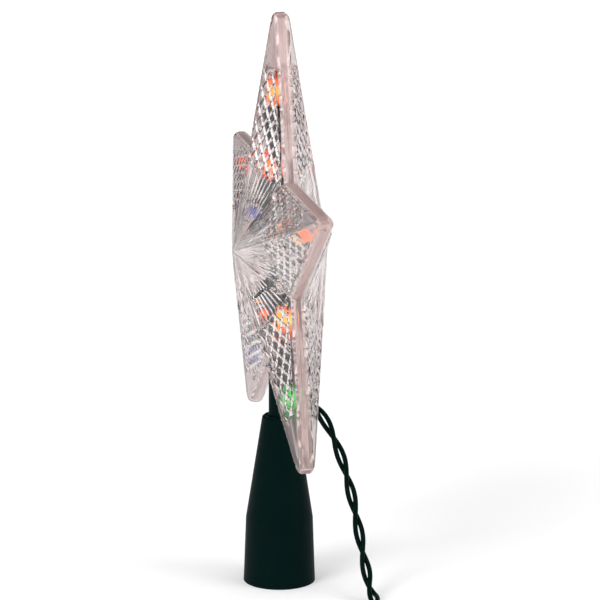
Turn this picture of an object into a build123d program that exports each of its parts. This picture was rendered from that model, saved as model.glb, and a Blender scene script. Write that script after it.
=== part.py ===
from build123d import *
import os
from math import atan2, cos, hypot, pi, radians, sin, sqrt, tan

os.makedirs("parts", exist_ok=True)

# Lighted five-point star for the top of a tree, in millimetres.
# +Z is up, the front faces -Y, and the origin is the centre of the cone's open end.

# Star shells
star_centre_z = 145.0
arm_reach = 100.0
tip_round = 3.4
valley_round = 1.5
apex_depth = 20.5
rim_half_depth = 2.4
shell_wall = 1.8
seat_clearance = 0.1
moving_clearance = 0.35

# Pegs that hold the two shells together, one in each valley without the stem
peg_radius = 1.2
peg_length = 3.0
peg_end_room = 0.5
post_radius = 2.7
post_from_valley = 9.5

# Cone that slips over the tree's top shoot
cone_mouth_radius = 15.3
cone_break_radius = 14.3
cone_top_radius = 7.3
cone_break_z = 28.0
cone_top_z = 73.0
cone_wall = 1.6
cone_edge_chamfer = 0.7

# Stem between the cone and the star
stem_radius = 4.65
stem_wall = 1.3
stem_seat_depth = 15.0
stem_stop_lip = 1.1
stem_stop_height = 2.0
stem_sleeve_wall = 1.6
stem_in_star = 13.0
stem_groove_depth = 0.7
stem_groove_width = 2.4
groove_from_crotch = 1.0
collar_wall = 1.6
collar_below_crotch = 4.0
collar_above_crotch = 8.0

# Lamps: a socket, a push-in base, a glass bulb and its filament
socket_length = 14.0
socket_radius = 3.9
socket_tail_radius = 3.3
socket_tail_length = 3.0
socket_lip_radius = 4.2
socket_lip_length = 1.6
socket_bore_radius = 2.9
socket_bore_depth = 9.0
base_play = 0.08
base_flange_radius = 3.5
base_flange_length = 1.0
bulb_radius = 2.5
bulb_neck_radius = 1.9
bulb_neck_length = 2.0
bulb_shoulder_length = 2.4
bulb_length = 15.5
bulb_wall = 0.45
filament_radius = 0.18
filament_height = 6.0
filament_half_gap = 0.7
lamp_depth = 2.2
lamp_room = 0.3
inner_lamp_start = 14.0
inner_lamp_side = 5.3
outer_lamp_side = -1.5
saddle_thickness = 1.5
saddle_margin = 2.4
saddle_from_mouth = 6.0

# Wires between the sockets and down the stem
wire_radius = 1.05
wire_half_gap = 1.5
wire_bend = 2.4
wire_tail_run = 5.0
hub_depth = 7.0
jumper_depth = 4.0
hub_wire_from_lamp = 10.0
feed_half_gap = 1.25
feed_depth = -1.4
feed_above_stem = 2.0

# Twisted lead and the bushing in the stem's side
cord_diameter = 4.4
outlet_z = 86.4
outlet_slope = 30.0
outlet_run = 5.0
grommet_radius = 2.9
grommet_inside = 1.6
grommet_nose_length = 1.8
grommet_nose_radius = 2.5

# Coil of the put-away lead, which lies in two layers
coil_centre_x = 102.0
coil_centre_y = 4.0
coil_outer_radius = 26.6
coil_gap = 0.7
coil_turns = 3.0
coil_climb_turns = 0.5
coil_tail_length = 14.5
tie_radius = 0.6
tie_play = 0.3
tie_corner = 2.5
tie_angle = -90.0

# Plug with its fuse door
plug_width = 24.0
plug_height = 17.6
plug_length = 34.0
plug_edge = 3.0
plug_relief_length = 11.0
plug_relief_radius = 3.9
plug_relief_end_radius = 2.8
blade_thickness = 1.5
blade_width = 6.3
wide_blade_width = 7.9
blade_length = 16.0
blade_in_plug = 6.0
blade_spacing = 12.7
door_width = 10.6
door_length = 13.0
door_thickness = 1.1
door_tongue = 1.0
door_tongue_thickness = 1.0
door_travel = 8.0
door_front_margin = 0.8
door_clearance = 0.3
door_rib_height = 0.5
door_rib_width = 0.8
door_rib_count = 4
door_rib_spacing = 2.2
fuse_radius = 1.8
fuse_glass_radius = 1.6
fuse_cap_length = 2.4
fuse_length = 9.6
fuse_play = 0.2

# Arms in the order that the wiring visits them, clockwise seen from the front
arm_names = ["lower_left", "upper_left", "top", "upper_right", "lower_right"]
arm_count = len(arm_names)
arm_pitch_angle = 360.0 / arm_count
first_arm_angle = 234.0
arm_angles = {name: first_arm_angle - arm_pitch_angle * index for index, name in enumerate(arm_names)}
peg_angles = [arm_angles[name] - arm_pitch_angle / 2 for name in arm_names[:-1]]

# A regular five-point star: each arm's edges lie 18 degrees off its axis
half_pitch = radians(180.0 / arm_count)
edge_angle = half_pitch / 2
sharp_reach = arm_reach + tip_round * (1 / sin(edge_angle) - 1)
valley_share = sin(edge_angle) / sin(edge_angle + half_pitch)
valley_reach = sharp_reach * valley_share
edge_distance = sharp_reach * sin(edge_angle)
ridge_rise = apex_depth - rim_half_depth
facet_slope = atan2(ridge_rise, edge_distance)
cavity_depth = apex_depth - shell_wall / cos(facet_slope)
crotch_z = star_centre_z - valley_reach
stem_low_z = cone_top_z - stem_seat_depth
stem_top_z = crotch_z + stem_in_star
stem_bore = stem_radius - stem_wall

# The outer lamp sits as far up its arm as the round end of its glass clears the shell's inside
crown_depth = lamp_depth + (bulb_radius + lamp_room) / cos(facet_slope)
crown_run = (cavity_depth - crown_depth) / tan(facet_slope)
crown_station = (crown_run - abs(outer_lamp_side) * cos(edge_angle)) / sin(edge_angle)
outer_lamp_start = crown_station + bulb_radius - bulb_length - socket_length


def star_points(reach):
    """Tips and valleys of a sharp star, in turn, as (x, z) about the star's centre."""
    points = []
    for step in range(2 * arm_count):
        angle = pi / 2 - half_pitch * step
        length = reach * valley_share if step % 2 else reach
        points.append((length * cos(angle), length * sin(angle)))
    return points


def star_pyramid(reach, depth, side):
    """Solid over a sharp star on the parting plane, with its apex at this depth."""
    rim = [Vector(x, 0, star_centre_z + z) for x, z in star_points(reach)]
    apex = Vector(0, side * depth, star_centre_z)
    faces = [Face(Wire.make_polygon(rim))]
    for start, end in zip(rim, rim[1:] + rim[:1]):
        faces.append(Face(Wire.make_polygon([start, end, apex])))
    return Solid(Shell(faces))


def star_prism(inset, tip_radius, side):
    """Straight-sided star with rounded tips and valleys, from the parting plane outwards."""
    plane = Plane((0, 0, star_centre_z), x_dir=(1, 0, 0), z_dir=(0, side, 0))
    reach = sharp_reach - inset / sin(edge_angle)
    points = [(x, -side * z) for x, z in star_points(reach)]
    halfway = reach * (1 + valley_share) / 2
    outline = make_face(Polyline(*points, close=True))
    tips = [corner for corner in outline.vertices() if hypot(corner.X, corner.Y) > halfway]
    outline = fillet(tips, tip_radius)
    valleys = [corner for corner in outline.vertices() if hypot(corner.X, corner.Y) < halfway]
    outline = fillet(valleys, valley_round + inset)
    return extrude(plane * outline, amount=2 * apex_depth)


def bar(start, end, radius):
    """Round bar from one point to another."""
    start = Vector(*start)
    run = Vector(*end) - start
    return extrude(Plane(start, z_dir=run) * Circle(radius), amount=run.length)


def arm_point(arm, along, across, depth):
    """Point in an arm: along it from the star's centre, across it, and towards the rear."""
    angle = radians(arm_angles[arm])
    x = along * cos(angle) - across * sin(angle)
    z = along * sin(angle) + across * cos(angle)
    return Vector(x, depth, star_centre_z + z)


def arm_plane(arm, along, across, depth):
    """Plane square to an arm: its normal points to the arm's tip and its y to the rear."""
    angle = radians(arm_angles[arm])
    origin = arm_point(arm, along, across, depth)
    return Plane(origin, x_dir=(sin(angle), 0, -cos(angle)), z_dir=(cos(angle), 0, sin(angle)))


lamps = []
for arm in arm_names:
    lamps.append((arm, "inner", inner_lamp_start, inner_lamp_side))
    lamps.append((arm, "outer", outer_lamp_start, outer_lamp_side))


def lying_slot(arm, along, length, across, radius):
    """Room for a round piece laid along an arm, open to the parting plane."""
    plane = arm_plane(arm, along, across, 0)
    entry = Pos(0, -lamp_depth / 2) * Rectangle(2 * radius, lamp_depth)
    slot = extrude(plane * Pos(0, -lamp_depth) * Circle(radius), amount=length)
    return slot + extrude(plane * entry, amount=length)


def saddle(arm, start, across, clearance, body):
    """Rib across an arm that carries one socket, merged into the shell's wall, clear of the inner glass."""
    station = start + socket_length - saddle_from_mouth
    half_width = socket_radius + saddle_margin
    section = arm_plane(arm, station, across, 0) * Rectangle(2 * half_width, 4 * apex_depth)
    rib = extrude(section, amount=saddle_thickness) & body
    rib -= lying_slot(arm, station, saddle_thickness, across, socket_radius + clearance)
    glass_foot = inner_lamp_start + socket_length
    glass_room = bulb_radius + lamp_room
    return rib - lying_slot(arm, glass_foot, bulb_length + lamp_room, inner_lamp_side, glass_room)


def star_shell(side):
    """Half of the star. side is -1 for the front half and 1 for the rear half."""
    is_front = side < 0
    clearance = seat_clearance if is_front else moving_clearance
    outer = star_pyramid(sharp_reach * apex_depth / ridge_rise, apex_depth, side)
    outer = outer & star_prism(0, tip_round, side)
    cavity = star_pyramid(sharp_reach * cavity_depth / ridge_rise, cavity_depth, side)
    cavity = cavity & star_prism(shell_wall, tip_round - shell_wall, side)
    half = outer - cavity

    # saddles for the sockets: the front carries both of an arm, the rear steadies the outer one
    for arm, place, start, across in lamps:
        if is_front or place == "outer":
            half += saddle(arm, start, across, clearance, outer)

    # half collar that grips the stem in the star's lower notch, with a lip in the stem's groove
    span = 4 * arm_reach
    own_side = Pos(0, side * span / 2, star_centre_z) * Box(span, span, span)
    collar_low = crotch_z - collar_below_crotch
    collar_high = crotch_z + collar_above_crotch
    collar_bore = stem_radius + clearance
    half += bar((0, 0, collar_low), (0, 0, collar_high), collar_bore + collar_wall) & own_side
    half -= bar((0, 0, collar_low), (0, 0, stem_top_z + clearance), collar_bore)
    lip_low = crotch_z + groove_from_crotch + clearance
    lip_high = crotch_z + groove_from_crotch + stem_groove_width - clearance
    lip = bar((0, 0, lip_low), (0, 0, lip_high), collar_bore + collar_wall / 2)
    lip -= bar((0, 0, lip_low), (0, 0, lip_high), stem_radius - stem_groove_depth + clearance)
    half += lip & own_side

    # posts in the valleys, with pegs on the front half and holes in the rear half
    for angle in peg_angles:
        x = (valley_reach - post_from_valley) * cos(radians(angle))
        z = star_centre_z + (valley_reach - post_from_valley) * sin(radians(angle))
        half += bar((x, 0, z), (x, side * apex_depth, z), post_radius) & outer
        if is_front:
            half += bar((x, -peg_length, z), (x, peg_length, z), peg_radius)
        else:
            half -= bar((x, 0, z), (x, peg_length + peg_end_room, z), peg_radius + moving_clearance)
    return half


def turned(points):
    """Solid of revolution about Z from the (radius, height) points of a closed outline."""
    return revolve(make_face(Polyline(*[(r, 0, z) for r, z in points], close=True)), Axis.Z)


# Cone, with a sleeve inside its top that the stem is pressed into
cone_taper = (cone_break_radius - cone_top_radius) / (cone_top_z - cone_break_z)
sleeve_low_z = stem_low_z - stem_stop_height
sleeve_radius = stem_radius + stem_sleeve_wall
chamfer_z = cone_top_z - cone_edge_chamfer
pocket_radius = sleeve_radius + cone_edge_chamfer
pocket_top_z = cone_break_z + (cone_break_radius - cone_wall - pocket_radius) / cone_taper
tree_cone = turned(
    [
        (cone_mouth_radius - cone_wall, 0),
        (cone_mouth_radius, 0),
        (cone_break_radius, cone_break_z),
        (cone_top_radius + cone_edge_chamfer * cone_taper, chamfer_z),
        (cone_top_radius - cone_edge_chamfer, cone_top_z),
        (stem_radius, cone_top_z),
        (stem_radius, stem_low_z),
        (stem_radius - stem_stop_lip, stem_low_z),
        (stem_radius - stem_stop_lip, sleeve_low_z),
        (sleeve_radius, sleeve_low_z),
        (sleeve_radius, pocket_top_z),
        (pocket_radius, pocket_top_z),
        (cone_break_radius - cone_wall, cone_break_z),
    ]
)

# Stem tube, with the groove that the shells' lips hold and the slanted outlet for the lead
groove_low_z = crotch_z + groove_from_crotch
groove_high_z = groove_low_z + stem_groove_width
stem_tube = turned(
    [
        (stem_bore, stem_low_z),
        (stem_radius, stem_low_z),
        (stem_radius, groove_low_z),
        (stem_radius - stem_groove_depth, groove_low_z),
        (stem_radius - stem_groove_depth, groove_high_z),
        (stem_radius, groove_high_z),
        (stem_radius, stem_top_z),
        (stem_bore, stem_top_z),
    ]
)
outlet_way = Vector(0, cos(radians(outlet_slope)), -sin(radians(outlet_slope)))
outlet_centre = Vector(0, 0, outlet_z)
grommet_back = outlet_centre + outlet_way * grommet_inside
grommet_shoulder = outlet_centre + outlet_way * (stem_radius / outlet_way.Y)
cord_exit = grommet_shoulder + outlet_way * grommet_nose_length
stem_tube -= bar(grommet_back, cord_exit, grommet_radius)

# Bushing that fills the outlet round the two wires, with a tapered nose
nose_plane = Plane(grommet_shoulder, z_dir=outlet_way)
cord_grommet = bar(grommet_back, grommet_shoulder, grommet_radius)
nose_end = nose_plane.offset(grommet_nose_length)
cord_grommet += loft([nose_plane * Circle(grommet_radius), nose_end * Circle(grommet_nose_radius)])

# One lamp, upright, with its socket's tail at the origin
bore_floor = socket_length - socket_bore_depth
flange_top = socket_length + base_flange_length
bulb_foot = flange_top - bulb_neck_length
bulb_shoulder = flange_top + bulb_shoulder_length
bulb_crown = socket_length + bulb_length - bulb_radius


def bulb_form(shrink):
    """Turned form of the glass, made smaller all round by shrink, with a round crown."""
    radius = bulb_radius - shrink
    neck = bulb_neck_radius - shrink
    top = (0, 0, bulb_crown + radius)
    bend = (radius * sin(pi / 4), 0, bulb_crown + radius * cos(pi / 4))
    side = Polyline(
        top,
        (0, 0, bulb_foot),
        (neck, 0, bulb_foot),
        (neck, 0, flange_top),
        (radius, 0, bulb_shoulder),
        (radius, 0, bulb_crown),
    )
    crown = ThreePointArc((radius, 0, bulb_crown), bend, top)
    return revolve(make_face(side + crown), Axis.Z)


socket_model = turned(
    [
        (0, 0),
        (socket_tail_radius, 0),
        (socket_radius, socket_tail_length),
        (socket_radius, socket_length - socket_lip_length),
        (socket_lip_radius, socket_length - socket_lip_length),
        (socket_lip_radius, socket_length),
        (socket_bore_radius, socket_length),
        (socket_bore_radius, bore_floor),
        (0, bore_floor),
    ]
)
base_model = turned(
    [
        (0, bore_floor),
        (socket_bore_radius - base_play, bore_floor),
        (socket_bore_radius - base_play, socket_length),
        (base_flange_radius, socket_length),
        (base_flange_radius, flange_top),
        (bulb_neck_radius + base_play, flange_top),
        (bulb_neck_radius + base_play, bulb_foot),
        (0, bulb_foot),
    ]
)
bulb_model = bulb_form(0) - bulb_form(bulb_wall)
filament_top = bulb_foot + filament_height
post_sides = (-filament_half_gap, filament_half_gap)
filament_model = bar((post_sides[0], 0, filament_top), (post_sides[1], 0, filament_top), filament_radius)
post_top = filament_top + filament_radius
for post_x in post_sides:
    filament_model += bar((post_x, 0, bulb_foot), (post_x, 0, post_top), filament_radius)


def bent_wire(points, radius, bend):
    """Round wire along straight runs with rounded corners."""
    path = FilletPolyline(*points, radius=bend)
    return sweep(Plane(path @ 0, z_dir=path % 0) * Circle(radius), path=path)


def tail_points(arm, start, across, wire_side):
    """Where a wire meets a socket's tail, and a point straight out from it."""
    side = across + wire_side * wire_half_gap
    tail = arm_point(arm, start, side, -lamp_depth)
    return tail, arm_point(arm, start - wire_tail_run, side, -lamp_depth)


def wire_into_inner(arm):
    """Last points of a wire that comes from the star's middle into an inner socket's tail."""
    tail, before = tail_points(arm, inner_lamp_start, inner_lamp_side, 1)
    return [Vector(before.X, hub_depth, before.Z), before, tail]


def wire_from_outer(arm):
    """First points of a wire that leaves an outer socket's tail and passes behind the inner lamp."""
    tail, after = tail_points(arm, outer_lamp_start, outer_lamp_side, -1)
    beside_side = outer_lamp_side - 2 * wire_half_gap
    return [tail, after, arm_point(arm, inner_lamp_start + hub_wire_from_lamp, beside_side, hub_depth)]


# Series wiring: a jumper within each arm, one from each arm to the next, and a feed at each end
jumpers = []
for arm in arm_names:
    tail, after = tail_points(arm, inner_lamp_start, inner_lamp_side, -1)
    behind = Vector(after.X, jumper_depth, after.Z)
    end, before = tail_points(arm, outer_lamp_start, outer_lamp_side, 1)
    rise_side = outer_lamp_side + wire_half_gap
    rise = arm_point(arm, outer_lamp_start - 2 * wire_tail_run, rise_side, jumper_depth)
    jumpers.append(bent_wire([tail, after, behind, rise, before, end], wire_radius, wire_bend))
for arm, next_arm in zip(arm_names, arm_names[1:]):
    jumpers.append(bent_wire(wire_from_outer(arm) + wire_into_inner(next_arm), wire_radius, wire_bend))

feeds = []
for side_x, in_star in (
    (-feed_half_gap, wire_into_inner(arm_names[0])),
    (feed_half_gap, wire_from_outer(arm_names[-1])[::-1]),
):
    across = Vector(side_x, 0, 0)
    foot = grommet_back + across
    elbow = outlet_centre + across + outlet_way * (feed_depth / outlet_way.Y)
    top = Vector(side_x, feed_depth, stem_top_z + feed_above_stem)
    feeds.append(bent_wire([foot, elbow, top] + in_star, wire_radius, wire_bend))

# Free stretch of the lead: out of the stem, down to the ground, and along it to the coil
coil_low_z = 2 * tie_radius + tie_play + cord_diameter / 2
coil_pitch = cord_diameter + coil_gap
coil_start_y = coil_centre_y + coil_outer_radius
coil_start = Vector(coil_centre_x - cord_diameter, coil_start_y, coil_low_z)
cord_route = [
    cord_exit,
    cord_exit + outlet_way * outlet_run,
    Vector(0.5, 14.6, 76.6),
    Vector(1.6, 18.9, 71.0),
    Vector(4.2, 23.0, 62.3),
    Vector(8.6, 27.0, 49.5),
    Vector(14.6, 30.0, 33.0),
    Vector(22.5, 31.8, 16.5),
    Vector(33.0, 32.4, 5.4),
    Vector(47.0, 32.2, 2.3),
    Vector(63.0, 31.6, 2.6),
    Vector(80.0, coil_start_y, coil_low_z),
    coil_start,
]
arc_share = 0.45
cord_radii = []
for before, corner, after in zip(cord_route, cord_route[1:], cord_route[2:]):
    turn = radians((corner - before).get_angle(after - corner))
    shorter = min((corner - before).length, (after - corner).length)
    cord_radii.append(arc_share * shorter * cos(turn / 2) / sin(turn / 2))
print("lead arcs, radius in mm:", [round(radius) for radius in cord_radii])
lead_path = FilletPolyline(*cord_route, radius=cord_radii)
cord_lead = sweep(Plane(lead_path @ 0, z_dir=lead_path % 0) * Circle(cord_diameter / 2), path=lead_path)

# Coil: it spirals in on the lower layer, climbs half a turn and spirals out on the upper layer
coil_top_z = coil_low_z + coil_pitch
plug_axis_z = plug_height / 2


def eased(share):
    """Smooth step from 0 to 1."""
    share = min(max(share, 0.0), 1.0)
    return share * share * (3 - 2 * share)


def coil_point(turn):
    """Point of the coil's centre line after this many turns, clockwise seen from above."""
    radius = coil_outer_radius - coil_pitch * min(turn, coil_turns - turn)
    climb = eased((turn - (coil_turns - coil_climb_turns) / 2) / coil_climb_turns)
    settle = eased((turn - coil_turns + coil_climb_turns) / coil_climb_turns)
    z = coil_low_z + climb * (coil_top_z - coil_low_z) + settle * (plug_axis_z - coil_top_z)
    angle = pi / 2 - 2 * pi * turn
    return Vector(coil_centre_x + radius * cos(angle), coil_centre_y + radius * sin(angle), z)


def biarc(start, start_way, end, end_way):
    """Two arcs that join two points with these directions."""
    chord = end - start
    ways = start_way + end_way
    spread = 2 * (1 - start_way.dot(end_way))
    along = chord.dot(ways)
    reach = (sqrt(along * along + spread * chord.dot(chord)) - along) / spread
    first_knee = start + start_way * reach
    last_knee = end - end_way * reach
    middle = (first_knee + last_knee) / 2
    return [
        TangentArc(start, middle, tangent=start_way),
        TangentArc(middle, end, tangent=last_knee - first_knee),
    ]


turn_step = 0.25
small_turn = 0.01
coil_way = Vector(1, 0, 0)
coil_edges = [Line(coil_start, coil_point(0))]
knots = [turn_step * index for index in range(round(coil_turns / turn_step) + 1)]
ways = [(coil_point(turn + small_turn) - coil_point(turn - small_turn)).normalized() for turn in knots]
ways[0] = coil_way
ways[-1] = coil_way
stops = [coil_point(turn) for turn in knots]
for index in range(len(knots) - 1):
    coil_edges += biarc(stops[index], ways[index], stops[index + 1], ways[index + 1])
coil_end = coil_point(coil_turns)
plug_start = coil_end + coil_way * coil_tail_length
coil_edges.append(Line(coil_end, plug_start))
coil_path = Wire([edge.edge() for edge in coil_edges])
cord_coil = sweep(Plane(coil_start, z_dir=coil_way) * Circle(cord_diameter / 2), path=coil_path)

sample_count = 360
apart = round(sample_count / coil_turns / 2)
samples = [coil_path.position_at(index / sample_count) for index in range(sample_count + 1)]
least_gap = min(
    (samples[one] - samples[other]).length - cord_diameter
    for one in range(sample_count)
    for other in range(one + apart, sample_count + 1)
)
print("coil's least gap to itself, mm:", round(least_gap, 2))
print("lead's length, mm:", round(lead_path.length), "free and", round(coil_path.length), "coiled")
cord_section = pi * cord_diameter**2 / 4
for name, solid, path in (("lead", cord_lead, lead_path), ("coil", cord_coil, coil_path)):
    print(name, "volume over section times length:", round(solid.volume / (cord_section * path.length), 4))

# Tie round the coil's bundle: a bent wire loop, upright, square to the turns
first_pass = (90.0 - tie_angle) / 360.0
passes = [coil_point(first_pass + turn) for turn in range(int(coil_turns))]
coil_centre = Vector(coil_centre_x, coil_centre_y, 0)
pass_radii = [(Vector(point.X, point.Y, 0) - coil_centre).length for point in passes]
pass_heights = [point.Z for point in passes]
tie_margin = cord_diameter / 2 + tie_play + tie_radius
tie_width = max(pass_radii) - min(pass_radii) + 2 * tie_margin
tie_height = max(pass_heights) - min(pass_heights) + 2 * tie_margin
tie_out = Vector(cos(radians(tie_angle)), sin(radians(tie_angle)), 0)
tie_centre = coil_centre + tie_out * (max(pass_radii) + min(pass_radii)) / 2
tie_centre += Vector(0, 0, (max(pass_heights) + min(pass_heights)) / 2)
tie_plane = Plane(tie_centre, x_dir=tie_out, z_dir=tie_out.cross(Vector(0, 0, 1)))
tie_path = (tie_plane * RectangleRounded(tie_width, tie_height, tie_corner)).wire()
coil_tie = sweep(Plane(tie_path @ 0, z_dir=tie_path % 0) * Circle(tie_radius), path=tie_path)

# Plug, along +X from the coil's end, with its middle height at zero until it is placed
plug_back = plug_relief_length
plug_front = plug_back + plug_length
plug_top = plug_height / 2
plug_place = Pos(plug_start.X, plug_start.Y, plug_axis_z)


def block(x_low, x_high, width, z_low, z_high):
    """Box between two stations along the plug, centred across it."""
    length = x_high - x_low
    height = z_high - z_low
    return Pos(x_low + length / 2, 0, z_low + height / 2) * Box(length, width, height)


plug_body = block(plug_back, plug_front, plug_width, -plug_top, plug_top)
plug_body = fillet(plug_body.edges().filter_by(Axis.X), plug_edge)
plug_body = fillet(plug_body.faces().sort_by(Axis.X)[0].edges(), plug_edge / 2)
relief_foot = Plane((plug_back, 0, 0), z_dir=(-1, 0, 0))
relief_end = relief_foot.offset(plug_relief_length)
plug_body += loft([relief_foot * Circle(plug_relief_radius), relief_end * Circle(plug_relief_end_radius)])

# Fuse door: a plate with a tongue along each side, which runs in a slot open towards the blades
door_front = plug_front - door_front_margin - door_travel
door_back = door_front - door_length
door_under = plug_top - door_thickness
tongue_under = door_under - door_tongue_thickness
tongue_width = door_width + 2 * door_tongue
fuse_door = block(door_back, door_front, door_width, door_under, plug_top)
fuse_door += block(door_back, door_front, tongue_width, tongue_under, door_under)
door_middle = (door_back + door_front) / 2
rib_span = door_rib_spacing * (door_rib_count - 1)
for rib in range(door_rib_count):
    rib_x = door_middle - rib_span / 2 + door_rib_spacing * rib
    rib_back = rib_x - door_rib_width / 2
    rib_top = plug_top + door_rib_height
    fuse_door += block(rib_back, rib_back + door_rib_width, door_width - 2 * door_tongue, plug_top, rib_top)
slot_back = door_back - door_clearance
slot_width = door_width + 2 * door_clearance
groove_width = tongue_width + 2 * door_clearance
slot_floor = tongue_under - door_clearance
plug_body -= block(slot_back, plug_front, slot_width, slot_floor, plug_top)
plug_body -= block(slot_back, plug_front, groove_width, slot_floor, door_under + door_clearance)

# Two glass fuses in the pocket under the door
fuse_side = fuse_radius + fuse_play / 2
pocket_half = fuse_length / 2 + fuse_play
pocket_width = 2 * (fuse_side + fuse_radius + fuse_play)
pocket_floor = slot_floor - 2 * fuse_radius - fuse_play
pocket_back = door_middle - pocket_half
plug_body -= block(pocket_back, pocket_back + 2 * pocket_half, pocket_width, pocket_floor, slot_floor)
fuse_cap = fuse_length / 2 - fuse_cap_length
fuses = []
for side_y in (-fuse_side, fuse_side):
    centre = Vector(door_middle, side_y, pocket_floor + fuse_radius)
    along = Vector(1, 0, 0)
    fuse = bar(centre - along * fuse_length / 2, centre + along * fuse_length / 2, fuse_glass_radius)
    for way in (-1, 1):
        fuse += bar(centre + along * way * fuse_cap, centre + along * way * fuse_length / 2, fuse_radius)
    fuses.append(plug_place * fuse)

# Two blades, one wider than the other, set into the plug's front face
blades = []
blade_root = plug_front - blade_in_plug
blade_tip = plug_front + blade_length
for side_y, width in ((-blade_spacing / 2, blade_width), (blade_spacing / 2, wide_blade_width)):
    buried = block(blade_root, plug_front, blade_thickness, -width / 2, width / 2)
    blade = block(blade_root, blade_tip, blade_thickness, -width / 2, width / 2)
    end_edges = blade.faces().sort_by(Axis.X)[-1].edges().filter_by(Axis.Y)
    blade = chamfer(end_edges, blade_thickness)
    plug_body -= Pos(0, side_y, 0) * buried
    blades.append(plug_place * Pos(0, side_y, 0) * blade)

nodes = {
    "front_shell": star_shell(-1),
    "rear_shell": star_shell(1),
    "tree_cone": tree_cone,
    "stem_tube": stem_tube,
    "cord_grommet": cord_grommet,
    "jumper_wires": Compound(children=[Part() + wire for wire in jumpers]),
    "feed_wires": Compound(children=[Part() + wire for wire in feeds]),
    "cord_lead": cord_lead,
    "cord_coil": cord_coil,
    "coil_tie": coil_tie,
    "plug_body": plug_place * plug_body,
    "plug_blades": Compound(children=blades),
    "fuse_door": plug_place * fuse_door,
    "plug_fuses": Compound(children=fuses),
}
filaments = []
for arm, place, start, across in lamps:
    lay = arm_plane(arm, start, across, -lamp_depth).location
    nodes[f"socket_{arm}_{place}"] = lay * socket_model
    nodes[f"bulb_base_{arm}_{place}"] = lay * base_model
    nodes[f"bulb_{arm}_{place}"] = lay * bulb_model
    filaments.append(lay * filament_model)
nodes["lamp_filaments"] = Compound(children=filaments)

for name, shape in nodes.items():
    export_step(shape, f"parts/{name}.step")
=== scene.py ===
import bmesh
import bpy
from math import atan2, cos, pi, radians, sin
from mathutils import Matrix, Vector


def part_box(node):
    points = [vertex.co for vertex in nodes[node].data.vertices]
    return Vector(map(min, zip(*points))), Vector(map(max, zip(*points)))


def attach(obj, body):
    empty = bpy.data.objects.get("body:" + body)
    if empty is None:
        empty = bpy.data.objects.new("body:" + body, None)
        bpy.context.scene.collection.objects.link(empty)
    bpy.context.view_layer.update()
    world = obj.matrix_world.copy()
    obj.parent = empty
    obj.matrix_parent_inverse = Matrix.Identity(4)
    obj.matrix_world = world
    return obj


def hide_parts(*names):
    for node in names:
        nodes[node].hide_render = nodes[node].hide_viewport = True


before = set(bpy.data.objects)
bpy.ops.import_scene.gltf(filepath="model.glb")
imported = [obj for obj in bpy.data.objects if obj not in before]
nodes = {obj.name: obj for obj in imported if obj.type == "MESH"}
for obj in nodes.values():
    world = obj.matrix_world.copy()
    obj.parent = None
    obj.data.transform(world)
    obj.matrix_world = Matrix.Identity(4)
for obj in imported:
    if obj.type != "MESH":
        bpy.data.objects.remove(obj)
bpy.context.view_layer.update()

# Camera: a long lens on a stand at the star's right, almost edge-on, a little in front and above.
# It stands where the star's tips, its front point and the foot of the cone fall as in the photo.
bpy.ops.object.camera_add(location=(1.323, -0.24935, 0.44468))
camera = bpy.context.object
camera.rotation_euler = (radians(76.5612), radians(-0.1835), radians(79.009))
camera.data.sensor_width = 36.0
camera.data.lens = 197.485
camera.data.clip_start = 0.01
bpy.context.scene.camera = camera


# Tree cone: the hollow green skirt that slips over the top shoot of the tree.
# It is one satin moulding of polypropylene, with the stem pressed into its top.
class Tone:
    """One output of a material's nodes. Arithmetic on it adds Math nodes."""

    def __init__(self, tree, output=None):
        self.tree = tree
        self.output = output

    def node(self, kind, settings, inputs, output=0):
        """Add a node: its settings first, then the values or links of its sockets."""
        made = self.tree.nodes.new(kind)
        for name, value in settings.items():
            if name == "stops":
                while len(made.color_ramp.elements) < len(value):
                    made.color_ramp.elements.new(1.0)
                for element, (place, colour) in zip(made.color_ramp.elements, value):
                    element.position = place
                    element.color = (*colour, 1.0)
            else:
                setattr(made, name, value)
        for name, value in inputs.items():
            if isinstance(value, Tone):
                self.tree.links.new(value.output, made.inputs[name])
            else:
                made.inputs[name].default_value = value
        return Tone(self.tree, made.outputs[output])

    def math(self, operation, one, other):
        return self.node("ShaderNodeMath", {"operation": operation}, {0: one, 1: other})

    def __add__(self, other):
        return self.math("ADD", self, other)

    def __radd__(self, other):
        return self.math("ADD", other, self)

    def __sub__(self, other):
        return self.math("SUBTRACT", self, other)

    def __rsub__(self, other):
        return self.math("SUBTRACT", other, self)

    def __mul__(self, other):
        return self.math("MULTIPLY", self, other)

    def __rmul__(self, other):
        return self.math("MULTIPLY", other, self)

    def __truediv__(self, other):
        return self.math("DIVIDE", self, other)

    def __rtruediv__(self, other):
        return self.math("DIVIDE", other, self)

    def noise(self, where, scale, detail=2.0):
        inputs = {"Vector": where, "Scale": scale, "Detail": detail}
        return self.node("ShaderNodeTexNoise", {}, inputs, "Fac")

    def between(self, low, high):
        """Smooth step from 0 to 1 as this value goes from low to high."""
        inputs = {"Value": self, "From Min": low, "From Max": high}
        return self.node("ShaderNodeMapRange", {"interpolation_type": "SMOOTHSTEP"}, inputs)

    def ramp(self, stops):
        return self.node("ShaderNodeValToRGB", {"stops": stops}, {"Fac": self})

    def blend(self, low, high):
        """Colour between two others, by this value."""
        return self.node("ShaderNodeMix", {"data_type": "RGBA"}, {0: self, 6: low, 7: high}, 2)

    def bump(self, strength, distance):
        inputs = {"Height": self, "Strength": strength, "Distance": distance}
        return self.node("ShaderNodeBump", {}, inputs)


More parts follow.
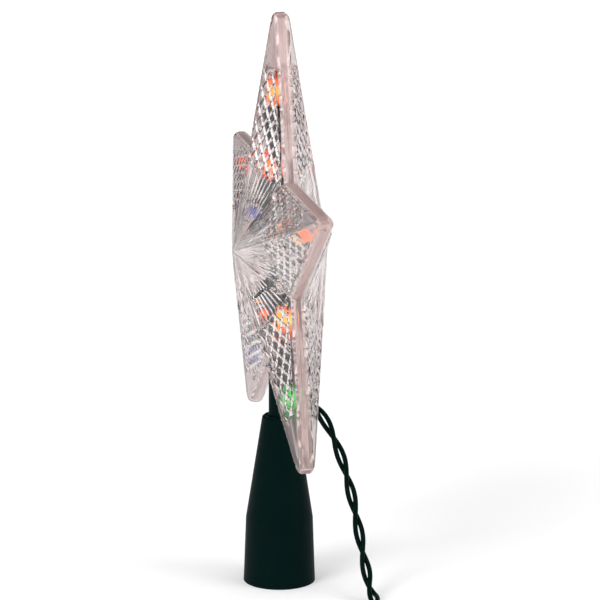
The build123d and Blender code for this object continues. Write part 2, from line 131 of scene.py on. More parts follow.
class Finish:
    """A new material on the standard shader, with the place on the piece at hand."""

    def __init__(self, name, **constants):
        self.material = bpy.data.materials.new(name)
        self.material.use_nodes = True
        tree = self.material.node_tree
        self.shader = tree.nodes["Principled BSDF"]
        self.base = Tone(tree)
        self.place = self.base.node("ShaderNodeTexCoord", {}, {}, "Object")
        for socket, value in constants.items():
            self.shader.inputs[socket.replace("_", " ")].default_value = value

    def feed(self, socket, tone):
        self.base.tree.links.new(tone.output, self.shader.inputs[socket])

    def put_on(self, *pieces):
        for piece in pieces:
            piece.data.materials.clear()
            piece.data.materials.append(self.material)


def moulded(name, dark, light, roughness, grain_size):
    """Green plastic or rubber: faint mottle in its colour, and a fine grain from the mould."""
    mottle_scale = 60.0
    grain_depth = 0.00008
    finish = Finish(name, Specular_IOR_Level=0.02)
    mottle = finish.base.noise(finish.place, mottle_scale, 4.0)
    grain = finish.base.noise(finish.place, 1.0 / grain_size, 3.0)
    finish.feed("Base Color", mottle.blend((*dark, 1.0), (*light, 1.0)))
    finish.feed("Roughness", roughness - 0.05 + 0.1 * mottle + 0.08 * grain)
    finish.feed("Normal", grain.bump(0.25, grain_depth))
    return finish


cone_plastic = moulded(
    "cone_satin_green",
    dark=(0.0006, 0.0065, 0.0058),
    light=(0.0013, 0.0098, 0.0088),
    roughness=0.4,
    grain_size=0.0006,
)
cone_plastic.put_on(nodes["tree_cone"], nodes["stem_tube"])

# Bushing where the lead leaves the stem, with a nose that keeps the wires off the edge of the hole.
# It is moulded in soft rubber and pressed into the stem's side.
grommet_rubber = moulded(
    "grommet_rubber",
    dark=(0.002, 0.006, 0.005),
    light=(0.004, 0.010, 0.009),
    roughness=0.6,
    grain_size=0.0004,
)
grommet_rubber.put_on(nodes["cord_grommet"])

# Lamp sockets and the push-in collars that carry the glass: glossy green mouldings,
# held in the saddles of the front shell.
arms = ["lower_left", "upper_left", "top", "upper_right", "lower_right"]
lamps = [f"{arm}_{place}" for arm in arms for place in ("inner", "outer")]
socket_plastic = moulded(
    "socket_gloss_green",
    dark=(0.003, 0.020, 0.017),
    light=(0.006, 0.030, 0.025),
    roughness=0.25,
    grain_size=0.0009,
)
socket_plastic.put_on(*[nodes[f"socket_{lamp}"] for lamp in lamps])
collar_plastic = moulded(
    "collar_gloss_green",
    dark=(0.004, 0.026, 0.020),
    light=(0.007, 0.036, 0.028),
    roughness=0.22,
    grain_size=0.0009,
)
collar_plastic.put_on(*[nodes[f"bulb_base_{lamp}"] for lamp in lamps])

# Lamp glass: small drawn bulbs of coloured glass, lit, pushed into their collars.
# Each is brightest round its filament and deepens in colour towards its ends.
glow_reach = 0.009
streak_scale = 420.0
streak_share = 0.25
lamp_colours = {
    "orange": ((1.0, 0.45, 0.05), (0.75, 0.13, 0.004), (0.16, 0.012, 0.0005)),
    "red": ((1.0, 0.20, 0.02), (0.7, 0.04, 0.003), (0.2, 0.008, 0.001)),
    "yellow": ((1.0, 0.55, 0.06), (1.0, 0.30, 0.01), (0.5, 0.08, 0.002)),
    "green": ((0.04, 0.55, 0.07), (0.008, 0.25, 0.03), (0.002, 0.07, 0.011)),
    "blue": ((0.06, 0.07, 0.26), (0.014, 0.018, 0.16), (0.005, 0.006, 0.07)),
}
lamp_colour_of = {
    "top_inner": "red",
    "top_outer": "orange",
    "upper_right_inner": "orange",
    "upper_right_outer": "yellow",
    "lower_right_inner": "orange",
    "lower_right_outer": "green",
    "lower_left_inner": "red",
    "lower_left_outer": "blue",
    "upper_left_inner": "blue",
    "upper_left_outer": "red",
}
for lamp, colour_name in lamp_colour_of.items():
    bulb = nodes[f"bulb_{lamp}"]
    hot, full, deep = lamp_colours[colour_name]
    low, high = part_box(f"bulb_{lamp}")
    glow = Finish(f"lamp_glass_{lamp}", Roughness=0.06, Transmission_Weight=0.2, Emission_Strength=2.0)
    from_filament = glow.base.node(
        "ShaderNodeVectorMath",
        {"operation": "DISTANCE"},
        {0: glow.place, 1: (low + high) / 2},
        "Value",
    )
    streak = glow.base.noise(glow.place, streak_scale)
    outwards = from_filament / glow_reach + streak_share * streak - streak_share / 2
    glow.feed("Emission Color", outwards.ramp([(0.25, hot), (0.5, full), (0.8, deep)]))
    glow.feed("Base Color", streak.blend((*full, 1.0), (*deep, 1.0)))
    glow.put_on(bulb)

# Filaments: a hair-thin tungsten wire on two posts inside each lamp, glowing a warm yellow.
# The posts are sealed into the foot of the glass and bring the current up from the lamp's base.
flicker_scale = 900.0
filament = Finish("lit_tungsten", Metallic=1.0, Roughness=0.4, Emission_Strength=4.0)
flicker = filament.base.noise(filament.place, flicker_scale)
filament.feed("Emission Color", flicker.blend((1.0, 0.55, 0.18, 1.0), (1.0, 0.78, 0.42, 1.0)))
filament.feed("Base Color", flicker.blend((0.35, 0.30, 0.26, 1.0), (0.5, 0.45, 0.4, 1.0)))
filament.put_on(nodes["lamp_filaments"])

# Wires in the star: single wires in dark green vinyl that join the ten sockets in series,
# and two more from the first and the last socket down through the stem.
wire_vinyl = moulded(
    "wire_vinyl",
    dark=(0.0012, 0.0072, 0.0056),
    light=(0.0022, 0.0115, 0.009),
    roughness=0.3,
    grain_size=0.0012,
)
wire_vinyl.put_on(nodes["jumper_wires"], nodes["feed_wires"])

# Star shells: two halves moulded in clear styrene, with a cut-glass pattern raised on the outside.
# A sunburst of ribs runs out from the middle, lozenges fill the arms, and the tips stay plain.
# The rear half is pegged to the front half in the valleys.
star_height = 0.145
arm_reach = 0.100
tip_round = 0.0034
apex_depth = 0.0205
rim_half_depth = 0.0024
shell_wall = 0.0018
arm_spacing = 2 * pi / len(arms)
valley_angle = arm_spacing / 2
edge_angle = radians(18.0)
rim_normal = radians(90.0) - edge_angle
sharp_reach = arm_reach + tip_round * (1 / sin(edge_angle) - 1)
facet_fall = (apex_depth - rim_half_depth) / (sharp_reach * sin(edge_angle))
facet_normal = Vector((facet_fall * sin(rim_normal), facet_fall * cos(rim_normal), 1.0)).normalized()
cavity_depth = apex_depth - shell_wall / facet_normal.z
cut_tolerance = 1e-6


def pick_faces(test):
    """Select the faces whose middle and normal pass a test, and nothing else."""
    form = bmesh.from_edit_mesh(bpy.context.object.data)
    for corner in form.verts:
        corner.select_set(False)
    for face in form.faces:
        if test(face.calc_center_median(), face.normal):
            face.select_set(True)
    form.select_flush_mode()
    bmesh.update_edit_mesh(bpy.context.object.data)


def pick_corners(test):
    """Select the corners whose place passes a test, and nothing else."""
    form = bmesh.from_edit_mesh(bpy.context.object.data)
    for corner in form.verts:
        corner.select_set(False)
    for corner in form.verts:
        if test(corner.co):
            corner.select_set(True)
    form.select_flush_mode()
    bmesh.update_edit_mesh(bpy.context.object.data)


def cut_line(angle, distance, **sides):
    """Cut the selection along a line of the plan: its normal's angle off the arm, its distance."""
    normal = Vector((sin(angle), cos(angle), 0.0))
    line = {"plane_co": normal * distance, "plane_no": normal, "threshold": cut_tolerance}
    bpy.ops.mesh.bisect(**line, **sides)


def out_along(place, angle):
    """How far a place lies from the star's middle in a direction of the plan."""
    return place.x * sin(angle) + place.y * cos(angle)


tip_steps = 6


def rim_lines(inset):
    """Lines round the outside of half an arm: the straight edge, then the round of the tip."""
    centre = arm_reach - tip_round
    angles = [rim_normal * (tip_steps - step) / tip_steps for step in range(tip_steps + 1)]
    return [(angle, centre * cos(angle) + tip_round - inset) for angle in angles]


sheet_size = 3 * arm_reach
facing = 0.99


def half_arm(name, inset, depth):
    """One facet with its rim wall: half an arm, cut from a sheet, thickened and sliced to the slope."""
    bpy.ops.object.select_all(action="DESELECT")
    bpy.ops.mesh.primitive_plane_add(size=sheet_size)
    bpy.context.object.name = name
    bpy.ops.object.mode_set(mode="EDIT")
    bpy.ops.mesh.select_all(action="SELECT")
    cut_line(radians(-90.0), 0.0, clear_outer=True)
    for angle, distance in rim_lines(inset):
        bpy.ops.mesh.select_all(action="SELECT")
        cut_line(angle, distance, clear_outer=True)
    bpy.ops.mesh.select_all(action="SELECT")
    cut_line(valley_angle + radians(90.0), 0.0, clear_outer=True)
    bpy.ops.mesh.select_all(action="SELECT")
    bpy.ops.mesh.extrude_region_move(TRANSFORM_OT_translate={"value": (0, 0, 2 * apex_depth)})
    bpy.ops.mesh.select_all(action="SELECT")
    slope = {"plane_co": (0, 0, depth), "plane_no": facet_normal, "threshold": cut_tolerance}
    bpy.ops.mesh.bisect(**slope, clear_outer=True, use_fill=True)
    bpy.ops.mesh.select_all(action="SELECT")
    bpy.ops.mesh.normals_make_consistent(inside=False)
    valley_side = Vector((cos(valley_angle), -sin(valley_angle), 0.0))

    def is_open(place, way):
        """True on the sides that stay open: at the ridge, in the valley and at the parting face."""
        on_ridge_side = way.x < -facing
        on_valley_side = way.dot(valley_side) > facing
        return on_ridge_side or on_valley_side or place.z < cut_tolerance

    pick_faces(is_open)
    bpy.ops.mesh.delete(type="FACE")
    return bpy.context.object


# outside of half an arm: flat-topped lozenges in a field between plain strips at the ridge and the rim
strip = 0.0013
rim_ease = 0.0017
rim_strip = rim_ease + 0.0005
facet_lean = 0.5
sunburst_reach = 0.0345
sunburst_band = 0.0016
sunburst_end = sunburst_reach + sunburst_band
lozenge_end = 0.078
lozenge_length = 0.0072
lozenge_width = 0.0045
lozenge_rise = 0.40
lozenge_height = 0.00048
lozenge_lines = range(-12, 30)
sliver_gap = 0.0001
top_gap = 0.00005
wedge_middle = valley_angle / 2
field_edge = rim_lines(0.0)[0][1] - rim_strip
outer_wall = half_arm("outer_wall", 0.0, apex_depth)


def is_facet(place, way):
    return way.z > facet_lean


def past_sunburst(place, way):
    return is_facet(place, way) and out_along(place, wedge_middle) > sunburst_end


def inside_rim(place, way):
    return past_sunburst(place, way) and out_along(place, rim_normal) < field_edge


def off_ridge(place, way):
    return inside_rim(place, way) and place.x > strip


def in_lozenges(place, way):
    return off_ridge(place, way) and place.y < lozenge_end


for where, angle, distance in (
    (is_facet, wedge_middle, sunburst_end),
    (past_sunburst, rim_normal, field_edge),
    (inside_rim, radians(90.0), strip),
    (off_ridge, 0.0, lozenge_end),
):
    pick_faces(where)
    cut_line(angle, distance)
slant = radians(90.0) - Vector((lozenge_length, lozenge_width)).angle(Vector((1.0, 0.0)))
lozenge_pitch = lozenge_width * sin(slant)
for side in (-1, 1):
    for step in lozenge_lines:
        pick_faces(in_lozenges)
        cut_line(side * slant, lozenge_pitch * step)
bpy.ops.mesh.select_all(action="SELECT")
bpy.ops.mesh.remove_doubles(threshold=sliver_gap)
pick_faces(in_lozenges)
bpy.ops.mesh.poke(offset=lozenge_rise, use_relative_offset=True)
top_level = Vector((0.0, 0.0, apex_depth)) + facet_normal * lozenge_height
tops = {"plane_co": top_level, "plane_no": facet_normal, "threshold": cut_tolerance}
bpy.ops.mesh.select_all(action="SELECT")
bpy.ops.mesh.bisect(**tops, clear_outer=True, use_fill=True)
bpy.ops.mesh.select_all(action="SELECT")
bpy.ops.mesh.remove_doubles(threshold=top_gap)

# ribs of the sunburst: each rises from near the apex to its outer end, between the same plain strips
sunburst_start = 0.007
rib_count = 10
rib_share = 0.2
rib_height = 0.0005
near = 1e-5
crease_normal = valley_angle + radians(90.0)


def past_apex(place, way):
    return is_facet(place, way) and sunburst_start < out_along(place, wedge_middle) < sunburst_end


def by_ribs(place, way):
    return past_apex(place, way) and place.x > strip


def in_sunburst(place, way):
    return by_ribs(place, way) and out_along(place, crease_normal) < -strip


for where, angle, distance in (
    (is_facet, wedge_middle, sunburst_start),
    (past_apex, radians(90.0), strip),
    (by_ribs, crease_normal, -strip),
    (in_sunburst, wedge_middle, sunburst_reach),
):
    pick_faces(where)
    cut_line(angle, distance)
for rib in range(rib_count):
    for share in (-rib_share, 0.0, rib_share):
        pick_faces(in_sunburst)
        cut_line(valley_angle * (rib + 0.5 + share) / rib_count + radians(90.0), 0.0)
pick_faces(in_sunburst)
bpy.ops.mesh.quads_convert_to_tris()


def on_rib(place):
    """True at the outer end of the line along the middle of each rib."""
    if abs(out_along(place, wedge_middle) - sunburst_reach) > near or place.z < near:
        return False
    turn = Vector((place.x, place.y)).angle_signed(Vector((0.0, 1.0)))
    share = abs(turn) / valley_angle * rib_count
    return abs(share % 1.0 - 0.5) < rib_share / 2


pick_corners(on_rib)
bpy.ops.transform.translate(value=facet_normal * rib_height)
bpy.ops.object.mode_set(mode="OBJECT")

# inside of the same half arm, plain
inner_wall = half_arm("inner_wall", shell_wall, cavity_depth)
bpy.ops.mesh.select_all(action="SELECT")
bpy.ops.mesh.flip_normals()
bpy.ops.object.mode_set(mode="OBJECT")

# the two walls joined at the parting face, mirrored to a whole arm and turned round the star
seam_gap = 0.00001
bpy.ops.object.select_all(action="DESELECT")
inner_wall.select_set(True)
outer_wall.select_set(True)
bpy.context.view_layer.objects.active = outer_wall
bpy.ops.object.join()
bpy.ops.object.mode_set(mode="EDIT")
bpy.ops.mesh.select_mode(type="EDGE")
form = bmesh.from_edit_mesh(outer_wall.data)
for corner in form.verts:
    corner.select_set(False)
for edge in form.edges:
    edge.select_set(all(abs(corner.co.z) < cut_tolerance for corner in edge.verts))
bmesh.update_edit_mesh(outer_wall.data)
bpy.ops.mesh.bridge_edge_loops()
bpy.ops.mesh.select_mode(type="VERT")
bpy.ops.mesh.select_all(action="SELECT")
bpy.ops.mesh.duplicate()
bpy.ops.transform.resize(value=(-1, 1, 1), center_override=(0, 0, 0))
bpy.ops.mesh.flip_normals()
bpy.ops.mesh.select_all(action="SELECT")
for turn in range(1, len(arms)):
    bpy.ops.mesh.duplicate()
    bpy.ops.transform.rotate(value=arm_spacing, orient_axis="Z", center_override=(0, 0, 0))
bpy.ops.mesh.select_all(action="SELECT")
bpy.ops.mesh.remove_doubles(threshold=seam_gap)
bpy.ops.mesh.normals_make_consistent(inside=False)

# the outer edges are eased: more round the rim and the tips, and slightly on ridges and creases
ridge_ease = 0.0004
rim_segments = 4
ridge_segments = 2
upright = 0.01
same_way = 0.999


def on_outside(face):
    """True on a facet of the outer surface."""
    down = face.calc_center_median() - Vector((0, 0, apex_depth))
    return face.normal.z > facet_lean and abs(down.dot(face.normal)) < near


def on_rim_wall(face):
    """True on the outer side of the rim wall."""
    middle = face.calc_center_median()
    outward = face.normal.dot(middle) > 0
    return abs(face.normal.z) < upright and middle.z < rim_half_depth and outward


def is_rim_edge(one, other):
    return on_outside(one) and on_rim_wall(other) or on_outside(other) and on_rim_wall(one)


def is_ridge(one, other):
    return on_outside(one) and on_outside(other) and one.normal.dot(other.normal) < same_way


bpy.ops.mesh.select_mode(type="EDGE")
for test, offset, segments in (
    (is_rim_edge, rim_ease, rim_segments),
    (is_ridge, ridge_ease, ridge_segments),
):
    bpy.ops.mesh.select_all(action="DESELECT")
    form = bmesh.from_edit_mesh(outer_wall.data)
    for edge in form.edges:
        edge.select_set(test(*edge.link_faces))
    bmesh.update_edit_mesh(outer_wall.data)
    bpy.ops.mesh.bevel(offset=offset, segments=segments, affect="EDGES")
bpy.ops.mesh.select_mode(type="VERT")

# the ends of the ridges are domed by three flats at each tip,
# each given by a point on it, short of the tip and above the parting face, and by its tilt
tip_flats = (
    (0.0024, 0.00365, radians(15.0)),
    (0.0024, 0.00365, radians(30.0)),
    (0.0010, 0.00285, radians(52.0)),
)
for arm in range(len(arms)):
    turn = Matrix.Rotation(arm_spacing * arm, 3, "Z")
    for short, up, tilt in tip_flats:
        on_flat = Vector((0.0, arm_reach - short, up))
        normal = Vector((0.0, sin(tilt), cos(tilt)))
        tip_flat = {"plane_co": turn @ on_flat, "plane_no": turn @ normal}
        bpy.ops.mesh.select_all(action="SELECT")
        bpy.ops.mesh.bisect(**tip_flat, threshold=cut_tolerance, clear_outer=True, use_fill=True)
bpy.ops.mesh.select_all(action="SELECT")
bpy.ops.mesh.remove_doubles(threshold=seam_gap)
bpy.ops.object.mode_set(mode="OBJECT")
front = outer_wall
front.name = "front_star"
bpy.ops.object.select_all(action="DESELECT")
front.select_set(True)
bpy.context.view_layer.objects.active = front
bpy.ops.object.duplicate()
rear = bpy.context.object
rear.name = "rear_star"


def carve(piece, operation, *tools):
    """Join other forms to a piece or cut them out of it, and clear them away."""
    bpy.ops.object.select_all(action="DESELECT")
    bpy.context.view_layer.objects.active = piece
    for tool in tools:
        step = piece.modifiers.new("carve", "BOOLEAN")
        step.operation = operation
        step.solver = "MANIFOLD"
        step.object = tool
        bpy.ops.object.modifier_apply(modifier=step.name)
    for tool in tools:
        bpy.data.objects.remove(tool)


def rod(radius, low, high):
    """Round bar between two points."""
    low, high = Vector(low), Vector(high)
    bpy.ops.object.select_all(action="DESELECT")
    bpy.ops.mesh.primitive_cylinder_add(vertices=40, radius=radius, depth=(high - low).length)
    made = bpy.context.object
    made.rotation_euler = (high - low).to_track_quat("Z", "Y").to_euler()
    made.location = (low + high) / 2
    bpy.ops.object.transform_apply()
    return made


def slab(low, high):
    """Square block between two corners."""
    low, high = Vector(low), Vector(high)
    bpy.ops.object.select_all(action="DESELECT")
    bpy.ops.mesh.primitive_cube_add(size=1.0, location=(low + high) / 2)
    made = bpy.context.object
    made.scale = high - low
    bpy.ops.object.transform_apply()
    return made


# saddles across the arms that the sockets lie in: both of an arm in front, the outer one behind
socket_radius = 0.0039
lamp_depth = 0.0022
saddle_thickness = 0.0015
saddle_half_width = 0.0063
saddle_from_tail = 0.008
sink = 0.0007
seat_reach = 0.01
front_fit = 0.0001
rear_fit = 0.00035


def saddle(socket, across, clearance):
    """Rib across the top arm with a round seat for one socket, sunk into the wall."""
    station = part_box(socket)[0].z - star_height + saddle_from_tail
    made = slab(
        (across - saddle_half_width, station, 0.0),
        (across + saddle_half_width, station + saddle_thickness, apex_depth),
    )
    bpy.ops.object.mode_set(mode="EDIT")
    for side in (-1, 1):
        bpy.ops.mesh.select_all(action="SELECT")
        slope = Vector((side * facet_normal.x, facet_normal.y, facet_normal.z))
        in_wall = {"plane_co": (0, 0, cavity_depth + sink), "plane_no": slope}
        bpy.ops.mesh.bisect(**in_wall, clear_outer=True, use_fill=True)
    bpy.ops.object.mode_set(mode="OBJECT")
    seat = socket_radius + clearance
    before = station + saddle_thickness / 2 - seat_reach
    after = station + saddle_thickness / 2 + seat_reach
    bed = rod(seat, (across, before, lamp_depth), (across, after, lamp_depth))
    entry = slab((across - seat, before, -seat_reach), (across + seat, after, lamp_depth))
    carve(made, "DIFFERENCE", bed, entry)
    return made


def turned_round(made):
    """The same form in all five arms."""
    copies = [made]
    for turn in range(1, len(arms)):
        bpy.ops.object.select_all(action="DESELECT")
        made.select_set(True)
        bpy.context.view_layer.objects.active = made
        bpy.ops.object.duplicate()
        copy = bpy.context.object
        copy.rotation_euler.z = arm_spacing * turn
        bpy.ops.object.transform_apply()
        copies.append(copy)
    return copies


inner_side = 0.0053
outer_side = 0.0015
carve(front, "UNION", *turned_round(saddle("socket_top_inner", -inner_side, front_fit)))
carve(front, "UNION", *turned_round(saddle("socket_top_outer", outer_side, front_fit)))
carve(rear, "UNION", *turned_round(saddle("socket_top_outer", -outer_side, rear_fit)))

# posts in the four free valleys: pegs on the front half, and holes for them in the rear half
free_valleys = (54.0, -18.0, 198.0, 126.0)
post_reach = 0.0316
post_radius = 0.0027
post_height = 0.0056
peg_radius = 0.0012
peg_end = 0.003
hole_radius = peg_radius + rear_fit
hole_mouth = -0.001
hole_depth = 0.0035
for angle in free_valleys:
    x = post_reach * cos(radians(angle))
    y = post_reach * sin(radians(angle))
    for shell in (front, rear):
        carve(shell, "UNION", rod(post_radius, (x, y, 0.0), (x, y, post_height)))
    carve(front, "UNION", rod(peg_radius, (x, y, -peg_end), (x, y, peg_end)))
    carve(rear, "DIFFERENCE", rod(hole_radius, (x, y, hole_mouth), (x, y, hole_depth)))

# half collars that grip the stem in the lower valley, each with a lip in the stem's groove
stem_radius = 0.00465
crotch = sharp_reach * sin(edge_angle) / cos(valley_angle)
collar_wall = 0.0016
collar_foot = -crotch - 0.004
collar_top = -crotch + 0.008
bore_foot = -crotch - 0.006
bore_top = -crotch + 0.013
groove_low = -crotch + 0.001
groove_high = -crotch + 0.0034
groove_depth = 0.0007
lip_overlap = 0.001
for shell, clearance in ((front, front_fit), (rear, rear_fit)):
    bore = stem_radius + clearance
    collar = rod(bore + collar_wall, (0, collar_foot, 0), (0, collar_top, 0))
    bpy.ops.object.mode_set(mode="EDIT")
    bpy.ops.mesh.select_all(action="SELECT")
    bpy.ops.mesh.bisect(plane_co=(0, 0, 0), plane_no=(0, 0, -1), clear_outer=True, use_fill=True)
    bpy.ops.object.mode_set(mode="OBJECT")
    lip_low = groove_low + clearance
    lip_high = groove_high - clearance
    below = rod(bore, (0, bore_foot, 0), (0, lip_low, 0))
    lip = rod(bore - groove_depth, (0, lip_low - lip_overlap, 0), (0, lip_high + lip_overlap, 0))
    above = rod(bore, (0, lip_high, 0), (0, bore_top + clearance, 0))
    carve(shell, "UNION", collar)
    carve(shell, "DIFFERENCE", below, lip, above)

# clear plastic, frosted round the apex with a faint painted glow there, and greyer towards the tips,
# with a satin finish on the rim whose pink colour is painted lamp light
haze_scale = 45.0
scuff_scale = 700.0
cloud_scale = 120.0
ripple_depth = 0.0004
grey_start = 0.012
grey_end = 0.07
frost_and_glow_start = 0.003
frost_and_glow_end = 0.018
# the small emission of the clear plastic is a painted glow, not a lamp
clear = Finish("clear_styrene", Transmission_Weight=1.0, IOR=1.59, Emission_Strength=0.035)
haze = clear.base.noise(clear.place, haze_scale, 3.0)
scuffs = clear.base.noise(clear.place, scuff_scale, 2.0)
in_plan = clear.base.node(
    "ShaderNodeVectorMath",
    {"operation": "MULTIPLY"},
    {0: clear.place, 1: (1.0, 0.0, 1.0)},
)
from_hub = clear.base.node(
    "ShaderNodeVectorMath",
    {"operation": "DISTANCE"},
    {0: in_plan, 1: (0.0, 0.0, star_height)},
    "Value",
)
to_tips = from_hub.between(grey_start, grey_end)
# one mask round the apex sets both the real frost and the painted glow there
frost_and_painted_glow_by_apex = 1.0 - from_hub.between(frost_and_glow_start, frost_and_glow_end)
hub_tint = haze.blend((0.92, 0.865, 0.855, 1.0), (0.97, 0.925, 0.915, 1.0))
tip_tint = haze.blend((0.64, 0.575, 0.565, 1.0), (0.78, 0.71, 0.70, 1.0))
clear.feed("Base Color", to_tips.blend(hub_tint, tip_tint))
clear.feed("Roughness", 0.015 + 0.03 * scuffs + 0.2 * frost_and_painted_glow_by_apex)
clear.feed("Normal", haze.bump(0.15, ripple_depth))
# painted glow: pale pink emission round the apex, fading out along the arms
clear.feed("Emission Color", frost_and_painted_glow_by_apex.blend((0.0, 0.0, 0.0, 1.0), (1.0, 0.93, 0.92, 1.0)))
rim_satin_and_glow = Finish("satin_rim_painted_glow", Transmission_Weight=0.72, IOR=1.5)
cloud = rim_satin_and_glow.base.noise(rim_satin_and_glow.place, cloud_scale, 3.0)
# the rim's pink is painted light, standing in for lamp light piped along the thick wall; its satin
# roughness is the rim's own finish
rim_satin_and_glow.feed("Base Color", cloud.blend((0.80, 0.585, 0.555, 1.0), (0.88, 0.70, 0.67, 1.0)))
rim_satin_and_glow.feed("Roughness", 0.18 + 0.12 * cloud)
rim_satin_and_glow.feed("Normal", cloud.bump(0.2, ripple_depth))
satin_band = 0.0015
satin_lean = 0.65
smooth_angle = radians(22.0)


def on_rim(place, way):
    """True on the rim wall and on its eased edges."""
    turn = atan2(place.x, place.y) / arm_spacing
    off_arm = abs(turn - round(turn)) * arm_spacing
    reach = Vector((place.x, place.y)).length
    by_edge = reach * cos(rim_normal - off_arm) > sharp_reach * sin(edge_angle) - satin_band
    by_tip = reach > arm_reach - tip_round
    outward = place.x * way.x + place.y * way.y > 0
    return outward and -upright < way.z < satin_lean and (by_edge or by_tip)


for shell, turn in ((front, 0.0), (rear, pi)):
    bpy.ops.object.select_all(action="DESELECT")
    shell.select_set(True)
    bpy.context.view_layer.objects.active = shell
    clear.put_on(shell)
    shell.data.materials.append(rim_satin_and_glow.material)
    shell.active_material_index = 1
    bpy.ops.object.mode_set(mode="EDIT")
    bpy.ops.mesh.select_all(action="SELECT")
    bpy.ops.mesh.remove_doubles(threshold=seam_gap)
    bpy.ops.mesh.select_mode(type="FACE")
    bpy.ops.mesh.select_all(action="DESELECT")
    pick_faces(on_rim)
    bpy.ops.object.material_slot_assign()
    bpy.ops.mesh.select_mode(type="VERT")
    bpy.ops.object.mode_set(mode="OBJECT")
    shell.rotation_euler = (radians(90.0), 0.0, turn)
    shell.location = (0.0, 0.0, star_height)
    bpy.ops.object.transform_apply()
    bpy.ops.object.shade_smooth_by_angle(angle=smooth_angle)

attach(front, "main")
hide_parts("front_shell")
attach(rear, "rear_cover")
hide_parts("rear_shell")

# Lead: two vinyl-covered wires twisted together, out of the stem's bushing and down to the table,
# where the spare length is wound into a coil that ends in the plug.
route = [
    (0.0, 0.006209, 0.082815),
    (0.0, 0.010539, 0.080315),
    (0.0005, 0.0146, 0.0766),
    (0.0016, 0.0189, 0.0710),
    (0.0042, 0.0230, 0.0623),
    (0.0086, 0.0270, 0.0495),
    (0.0146, 0.0300, 0.0330),
    (0.0225, 0.0318, 0.0165),
    (0.0330, 0.0324, 0.0054),
    (0.0470, 0.0322, 0.0026),
    (0.0630, 0.0316, 0.0028),
    (0.0800, 0.0306, 0.0037),
    (0.0976, 0.0306, 0.0037),
]
coil_centre = Vector((0.102, 0.004, 0.0))
coil_radius = 0.0266
coil_pitch = 0.0051
coil_turns = 3
coil_low = 0.0037
coil_high = 0.0088
climb_start = 1.25
climb_turns = 0.5
points_per_turn = 24
for index in range(coil_turns * points_per_turn + 1):
    turns = index / points_per_turn
    radius = coil_radius - coil_pitch * min(turns, coil_turns - turns)
    climb = min(max((turns - climb_start) / climb_turns, 0.0), 1.0)
    height = coil_low + (coil_high - coil_low) * climb * climb * (3 - 2 * climb)
    angle = pi / 2 - 2 * pi * turns
    route.append((coil_centre.x + radius * cos(angle), coil_centre.y + radius * sin(angle), height))
plug_start = (0.1165, 0.0306, 0.0088)
route.append(((coil_centre.x + plug_start[0]) / 2, plug_start[1], plug_start[2]))
route.append(plug_start)

line = bpy.data.curves.new("lead_line", "CURVE")
line.dimensions = "3D"
line.resolution_u = 10
spline = line.splines.new("NURBS")
spline.points.add(len(route) - 1)
for point, place in zip(spline.points, route):
    point.co = (*place, 1.0)
spline.order_u = 3
spline.use_endpoint_u = True
line_object = bpy.data.objects.new("lead_line", line)
bpy.context.scene.collection.objects.link(line_object)
bpy.context.view_layer.update()
traced = bpy.data.meshes.new_from_object(line_object)
path = [corner.co.copy() for corner in traced.vertices]
bpy.data.meshes.remove(traced)
bpy.data.objects.remove(line_object)

wire_radius = 0.00105
wire_offset = 0.00136
twist_pitch = 0.0335
twist_start = radians(70.0)
gather_start = 0.8
gather_length = 0.012
travelled = [0.0]
for before, after in zip(path, path[1:]):
    travelled.append(travelled[-1] + (after - before).length)
strands = []
for strand in range(2):
    wire = bpy.data.curves.new(f"lead_wire_{strand}", "CURVE")
    wire.dimensions = "3D"
    wire.bevel_depth = wire_radius
    wire.bevel_resolution = 3
    wire.use_fill_caps = True
    run = wire.splines.new("POLY")
    run.points.add(len(path) - 1)
    side = Vector((1.0, 0.0, 0.0))
    for index, place in enumerate(path):
        ahead = path[min(index + 1, len(path) - 1)] - path[max(index - 1, 0)]
        ahead.normalize()
        side = (side - ahead * side.dot(ahead)).normalized()
        turn = twist_start + pi * strand + 2 * pi * travelled[index] / twist_pitch
        offset = side * cos(turn) + ahead.cross(side) * sin(turn)
        gather = min(1.0, travelled[index] / gather_length + gather_start)
        run.points[index].co = (*(place + offset * wire_offset * gather), 1.0)
    wire_object = bpy.data.objects.new(f"lead_wire_{strand}", wire)
    bpy.context.scene.collection.objects.link(wire_object)
    strands.append(wire_object)
bpy.ops.object.select_all(action="DESELECT")
for wire_object in strands:
    wire_object.select_set(True)
bpy.context.view_layer.objects.active = strands[0]
bpy.ops.object.convert(target="MESH")
bpy.ops.object.join()
lead = bpy.context.object
lead.name = "twisted_lead"
bpy.ops.object.shade_smooth()
wire_vinyl.put_on(lead)
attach(lead, "main")
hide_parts("cord_lead", "cord_coil")

# Tie: a loop of soft wire in a coat of green plastic.
# It is bent round all the turns of the coil and holds them together.
tie_coat = moulded(
    "tie_coating",
    dark=(0.002, 0.011, 0.009),
    light=(0.004, 0.018, 0.015),
    roughness=0.45,
    grain_size=0.0008,
)
tie_coat.put_on(nodes["coil_tie"])

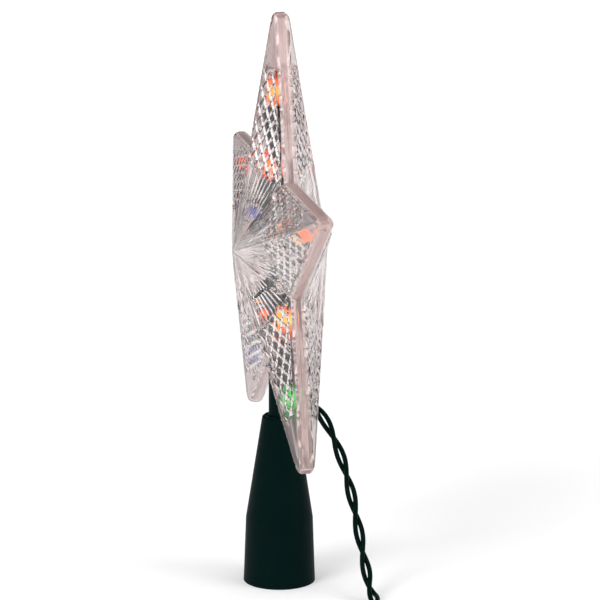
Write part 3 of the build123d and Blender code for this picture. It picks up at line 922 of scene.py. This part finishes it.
# Plug: a green plastic body moulded on the end of the lead, with two blades of rolled brass.
# A door slides along its top over two small glass fuses with metal caps.
plug_plastic = moulded(
    "plug_gloss_green",
    dark=(0.0015, 0.011, 0.009),
    light=(0.003, 0.017, 0.014),
    roughness=0.32,
    grain_size=0.0005,
)
plug_plastic.put_on(nodes["plug_body"])
door_plastic = moulded(
    "door_gloss_green",
    dark=(0.002, 0.013, 0.011),
    light=(0.0035, 0.019, 0.016),
    roughness=0.28,
    grain_size=0.0005,
)
door_plastic.put_on(nodes["fuse_door"])
rolling_scale = (40.0, 900.0, 900.0)
rolling_depth = 0.00005
brass = Finish("blade_brass", Metallic=1.0)
rolled = brass.base.node("ShaderNodeMapping", {}, {"Vector": brass.place, "Scale": rolling_scale})
lines = brass.base.noise(rolled, 1.0, 3.0)
brass.feed("Base Color", lines.blend((0.62, 0.42, 0.16, 1.0), (0.80, 0.60, 0.28, 1.0)))
brass.feed("Roughness", 0.22 + 0.2 * lines)
brass.feed("Normal", lines.bump(0.2, rolling_depth))
brass.put_on(nodes["plug_blades"])
glass_half_length = 0.0024
smear_scale = 800.0
fuse_low, fuse_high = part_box("plug_fuses")
fuse = Finish("fuse_glass_and_caps", Coat_Weight=0.5)
along = fuse.base.node("ShaderNodeSeparateXYZ", {}, {"Vector": fuse.place}, "X")
from_middle = fuse.base.math("ABSOLUTE", along - (fuse_low.x + fuse_high.x) / 2, 0.0)
cap = fuse.base.math("GREATER_THAN", from_middle, glass_half_length)
smear = fuse.base.noise(fuse.place, smear_scale)
fuse.feed("Base Color", cap.blend((0.55, 0.60, 0.60, 1.0), (0.72, 0.70, 0.66, 1.0)))
fuse.feed("Metallic", cap)
fuse.feed("Roughness", 0.08 + 0.2 * smear)
fuse.put_on(nodes["plug_fuses"])

# Stage: a white paper table top that runs out of view under a tent of soft white light,
# with a softbox at the left and one at the right of the camera.
table_radius = 6.0
fade_start = 0.35
fade_end = 1.5
fibre_scale = 900.0
black = (0.0, 0.0, 0.0, 1.0)
white = (1.0, 1.0, 1.0, 1.0)
bpy.ops.object.select_all(action="DESELECT")
bpy.ops.mesh.primitive_circle_add(vertices=96, radius=table_radius, fill_type="NGON")
floor = bpy.context.object
floor.name = "table_top"
paper = Finish("white_paper", Roughness=0.9, Specular_IOR_Level=0.1, Emission_Strength=0.3)
fibre = paper.base.noise(paper.place, fibre_scale)
far_off = paper.base.node("ShaderNodeVectorMath", {"operation": "LENGTH"}, {0: paper.place}, "Value")
paper.feed("Emission Color", far_off.between(fade_start, fade_end).blend(black, white))
paper.feed("Base Color", fibre.blend((0.955, 0.955, 0.955, 1.0), (0.975, 0.975, 0.975, 1.0)))
paper.put_on(floor)


def softbox(name, place, aim, size, power):
    """Square area lamp turned to a point."""
    bpy.ops.object.light_add(type="AREA", location=place)
    lamp = bpy.context.object
    lamp.name = name
    lamp.data.size = size
    lamp.data.energy = power
    lamp.rotation_euler = (Vector(aim) - Vector(place)).to_track_quat("-Z", "Y").to_euler()


lit_point = (0.0, 0.0, 0.13)
softbox("key_box", place=(0.9, -1.2, 1.3), aim=lit_point, size=0.8, power=14.0)
softbox("fill_box", place=(0.8, 1.3, 0.9), aim=lit_point, size=0.9, power=8.0)

# the tent is white to the camera, and grey above the horizon where the plastic mirrors or bends it
sky_fade = 0.08
sky_grey = (0.08, 0.08, 0.08, 1.0)
tent_white = (0.86, 0.86, 0.87, 1.0)
bounces = 40
world = bpy.data.worlds.new("studio_tent")
bpy.context.scene.world = world
world.use_nodes = True
sky = Tone(world.node_tree)
background = world.node_tree.nodes["Background"]
ray = world.node_tree.nodes.new("ShaderNodeLightPath")
seen = Tone(world.node_tree, ray.outputs["Is Camera Ray"])
mirrored = Tone(world.node_tree, ray.outputs["Is Glossy Ray"])
through = Tone(world.node_tree, ray.outputs["Is Transmission Ray"])
level = sky.node("ShaderNodeTexCoord", {}, {}, "Generated")
height = sky.node("ShaderNodeSeparateXYZ", {}, {"Vector": level}, "Z")
overhead = height.between(0.0, sky_fade)
in_glass = overhead.blend(white, sky_grey)
in_view = seen.blend(in_glass, white)
shown = sky.math("MINIMUM", seen + mirrored + through, 1.0)
tent = shown.blend(tent_white, in_view)
world.node_tree.links.new(tent.output, background.inputs["Color"])
bpy.context.scene.view_settings.view_transform = "Standard"
bpy.context.scene.cycles.max_bounces = bounces
bpy.context.scene.cycles.transmission_bounces = bounces
bpy.context.scene.cycles.glossy_bounces = bounces
